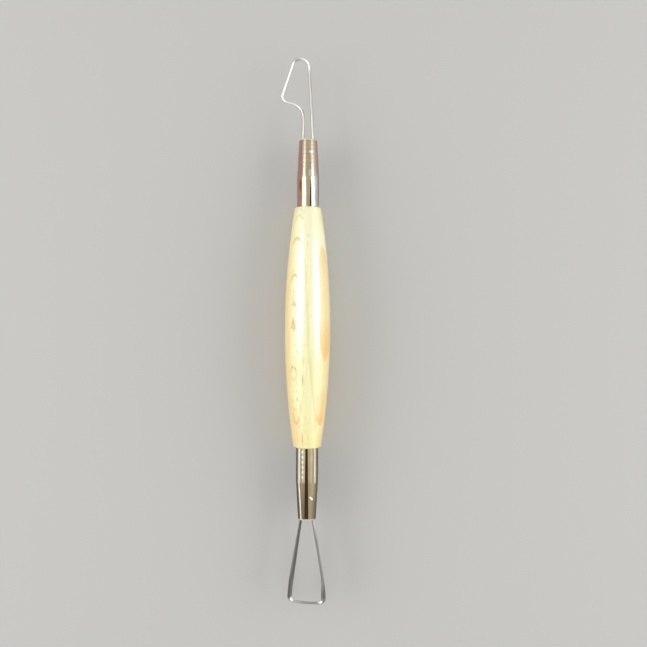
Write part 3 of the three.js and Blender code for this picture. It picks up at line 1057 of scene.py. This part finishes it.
def nick_polish_and_highlight(g):
    """A short cut across the taper, worn smooth and painted bright as a highlight."""
    around = g.times(g.minus(g.angle, nick_angle), math.radians(nick_radius / mm))
    out = g.minus(g.y, nick_y / mm)
    c, s = math.cos(nick_slant), math.sin(nick_slant)
    along = g.minus(g.times(around, s), g.times(out, c))
    across = g.plus(g.times(around, c), g.times(out, s))
    return g.times(g.band(along, -0.6, 0.6, 0.4), g.band(across, -0.2, 0.2, 0.2))


def trimming_polish_and_highlights(g, angle, on_sleeve):
    """The two ridges, the tooth marks, the rim and the nick are worn smooth, and painted bright as
    highlights.
    """
    # Painted highlights along the two ridges, at the tooth marks and at the rim; the left one weaker near the
    # mouth.
    left_middle = g.times(g.smooth(g.y, -55.2, -69.2), left_ridge_drift)
    on_left = g.minus(g.plus(angle, 43.3), left_middle)
    left_shine = g.minus(0.95, g.times(g.smooth(g.y, -57.0, -66.0), 0.2))
    left_ridge = g.times(g.band(on_left, -3.8, 3.8, 2.5), left_shine)
    right_ridge = g.times(g.band(angle, 40.0, 48.5, 2.5), on_sleeve, 0.75)
    teeth = 0.0
    for tooth in tooth_places:
        centre = (tooth_angle, (trimming_end.mouth - tooth) / mm)
        teeth = g.most(teeth, spot(g, centre, (6.0, 0.6)))
    worn_rim_highlight = g.times(mouth_edge(g, trimming_end), 0.8)
    return g.most(left_ridge, right_ridge, g.times(teeth, 0.45), worn_rim_highlight, nick_polish_and_highlight(g))


def trimming_sheet():
    g, colour, roughness = sheet_base("plated_sheet_trimming", rgb(178, 164, 137), rgb(166, 151, 124), 0.32)
    angle = g.plus(g.angle, g.shake((0.8, 0.3, 0.8), 4.0))
    on_sleeve = g.smooth(g.y, -57.0, -55.8)
    colour = trimming_painted_reflections_and_shade(g, colour, angle, on_sleeve)
    return finish_sheet(g, colour, roughness, trimming_polish_and_highlights(g, angle, on_sleeve))


def spring_wire():
    """Bright drawn wire, with painted shade on the straight legs and at the left shoulder of the crown."""
    g = Graph("spring_wire")
    cloud = g.noise((1.5, 1.5, 1.5), 3.0)
    # Painted shade on the straight legs and at the crown's left shoulder.
    left_leg_shade = g.times(g.smooth(g.x, -4.5, -2.5), g.smooth(g.y, 97.0, 94.0), g.smooth(g.y, 83.0, 80.0))
    right_leg_shade = g.times(g.smooth(g.x, -1.0, 0.5), g.smooth(g.y, 98.0, 94.0))
    shoulder = g.smooth(g.distance(g.flat(g.x, g.y), (-3.9, 98.9), (1.7, 1.7)), 1.2, 0.5)
    colour = g.layers(
        g.blend(cloud, rgb(244, 243, 239), rgb(222, 219, 212)),
        (g.times(g.most(left_leg_shade, right_leg_shade), 0.8), rgb(172, 165, 154)),
        (g.times(shoulder, 0.7), rgb(140, 138, 134)),
    )
    roughness = g.plus(g.times(cloud, 0.12), 0.24)
    g.relief(g.noise((9.0, 9.0, 9.0), 3.0), 0.003 * mm, 0.3)
    return g.surface({"Base Color": colour, "Roughness": roughness, "Metallic": 1.0})


def flat_strip():
    """Rolled strip: grey faces and edges with painted light and shade, lighter near the mouth and darker
    lower down, and brightest, by painted highlights, where the cutting bar starts.
    """
    g = Graph("flat_strip")
    lines = g.noise((1.2, 0.3, 9.0), 4.0, 0.6)
    # Painted light and shade: the left face lighter near the mouth and darker lower down, the right face
    # darker, the edges and bar lighter or darker by place.
    on_right = g.smooth(g.x, -2.0, 2.0)
    lower = g.smooth(g.y, -86.0, -97.0)
    near_mouth = g.smooth(g.y, -79.0, -71.0)
    near_bar = g.smooth(g.y, -94.0, -99.0)
    left_face = g.layers(rgb(174, 172, 166), (near_mouth, rgb(206, 204, 196)), (lower, rgb(108, 107, 103)))
    face = g.blend(on_right, left_face, rgb(132, 131, 125))
    left_edge = g.blend(lower, rgb(100, 99, 94), rgb(118, 117, 112))
    right_edge = g.layers(
        rgb(148, 147, 141), (near_mouth, rgb(196, 194, 186)), (near_bar, rgb(120, 119, 114))
    )
    bar = g.blend(g.smooth(g.x, -0.5, -4.5), rgb(162, 160, 154), rgb(190, 188, 182))
    place = g.flat(g.x, g.y)
    # Painted highlights at the two corners where the cutting bar starts.
    left_corner_highlight = g.smooth(g.distance(place, (-5.5, -99.7), (0.75, 0.95)), 1.3, 0.5)
    right_corner_highlight = g.smooth(g.distance(place, (4.95, -100.75), (0.8, 0.65)), 1.3, 0.5)
    corners = g.times(g.most(left_corner_highlight, right_corner_highlight), g.smooth(g.up, 0.65, 1.0))
    on_edges = g.smooth(g.calc("ABSOLUTE", g.up), 0.65, 1.0)
    on_bar = g.smooth(g.y, -99.4, -100.2)
    colour = g.layers(
        face,
        (on_edges, g.blend(on_right, left_edge, right_edge)),
        (on_bar, bar),
        (g.times(lines, 0.3), rgb(112, 110, 105)),
        (corners, rgb(244, 242, 236)),
    )
    roughness = g.plus(g.times(lines, 0.2), 0.24)
    g.relief(lines, 0.012 * mm, 0.35)
    return g.surface({"Base Color": colour, "Roughness": roughness, "Metallic": 1.0})


def dress(piece, material, node):
    piece.data.materials.append(material)
    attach(piece, "root")
    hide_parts(node)


def bare_tenons(piece, material):
    piece.data.materials.append(material)
    for face in piece.data.polygons:
        face.material_index = 1 if on_tenon(face.center) else 0


# Stage: a pale floor, soft lamps left and right of the tool, and a pale room.

floor_size = 6.0
floor_colour = rgb(200, 199, 196)
room_colour = rgb(236, 236, 234)
room_light = 0.64
# Soft lamps: name, tilt from straight up towards +X in degrees, distance, Y, width, length and power. The
# fills light the surfaces evenly, and the others show only in their gloss.
lamps = (
    ("left_shine", -38, 0.55, 0.083, 0.40, 0.31, 1.3),
    ("right_shine", 48.5, 0.55, 0.083, 0.34, 0.31, 1.15),
    ("left_low_shine", -44, 0.55, -0.205, 0.38, 0.21, 0.12),
    ("right_low_shine", 44, 0.55, -0.205, 0.38, 0.21, 0.12),
    ("left_fill", -66, 0.7, 0, 0.5, 0.9, 2.6),
    ("right_fill", 66, 0.7, 0, 0.5, 0.9, 2.6),
)
camera_place = Vector((5.93, 2.18, 311.43)) * mm
camera_roll = 0.003514
focal_pixels = 816.5
picture_pixels = 647
sensor_width = 36.0


def floor():
    half = floor_size / 2
    corners = [(-half, -half, 0), (half, -half, 0), (half, half, 0), (-half, half, 0)]
    sheet = piece_from("floor", corners, [(0, 1, 2, 3)])
    look = {"Base Color": floor_colour, "Roughness": 0.9, "Specular IOR Level": 0.2}
    sheet.data.materials.append(Graph("floor").surface(look))


def room():
    world = bpy.data.worlds.new("room")
    world.use_nodes = True
    nodes, links = world.node_tree.nodes, world.node_tree.links
    seen = nodes["Background"]
    seen.inputs["Color"].default_value = room_colour
    lit = nodes.new("ShaderNodeBackground")
    lit.inputs["Color"].default_value = (room_light, room_light, room_light, 1)
    path = nodes.new("ShaderNodeLightPath")
    either = path.outputs["Is Camera Ray"]
    for other in ("Is Glossy Ray", "Is Transmission Ray"):
        node = nodes.new("ShaderNodeMath")
        node.operation = "MAXIMUM"
        links.new(either, node.inputs[0])
        links.new(path.outputs[other], node.inputs[1])
        either = node.outputs[0]
    mix = nodes.new("ShaderNodeMixShader")
    links.new(either, mix.inputs[0])
    links.new(lit.outputs[0], mix.inputs[1])
    links.new(seen.outputs[0], mix.inputs[2])
    links.new(mix.outputs[0], nodes["World Output"].inputs["Surface"])
    bpy.context.scene.world = world


def lamp(name, tilt, distance, y, width, length, power):
    light = bpy.data.lights.new(name, "AREA")
    light.shape = "ELLIPSE"
    light.size = width
    light.size_y = length
    light.energy = power
    angle = math.radians(tilt)
    lamp_object = bpy.data.objects.new(name, light)
    lamp_object.location = (distance * math.sin(angle), y, distance * math.cos(angle))
    lamp_object.rotation_euler = (0, angle, 0)
    is_fill = name.endswith("fill")
    lamp_object.visible_glossy = not is_fill
    lamp_object.visible_diffuse = is_fill
    bpy.context.scene.collection.objects.link(lamp_object)


def camera():
    data = bpy.data.cameras.new("camera")
    data.sensor_width = sensor_width
    data.lens = focal_pixels / picture_pixels * sensor_width
    data.clip_start = 0.01
    data.clip_end = 10
    eye = bpy.data.objects.new("camera", data)
    eye.location = camera_place
    eye.rotation_euler = (0, 0, camera_roll)
    bpy.context.scene.collection.objects.link(eye)
    bpy.context.scene.camera = eye


camera()
floor()
room()
for settings in lamps:
    lamp(*settings)

beech_handle = handle()
dress(beech_handle, beech(), "handle")
bare_tenons(beech_handle, bare_beech_painted_shade())
hook_sleeve = ferrule("hook_sleeve", hook_end, hook_seam_angle, hook_gap, hook_outline, hook_relief)
dress(hook_sleeve, hook_sheet(), "hook_ferrule")
trimming_sleeve = ferrule(
    "trimming_sleeve", trimming_end, trimming_seam_angle, trimming_gap, trimming_outline, trimming_relief
)
dress(trimming_sleeve, trimming_sheet(), "trimming_ferrule")
dress(hook_loop(), spring_wire(), "hook_loop")
dress(trimming_loop(), flat_strip(), "trimming_loop")

bpy.context.scene.view_settings.view_transform = "Standard"
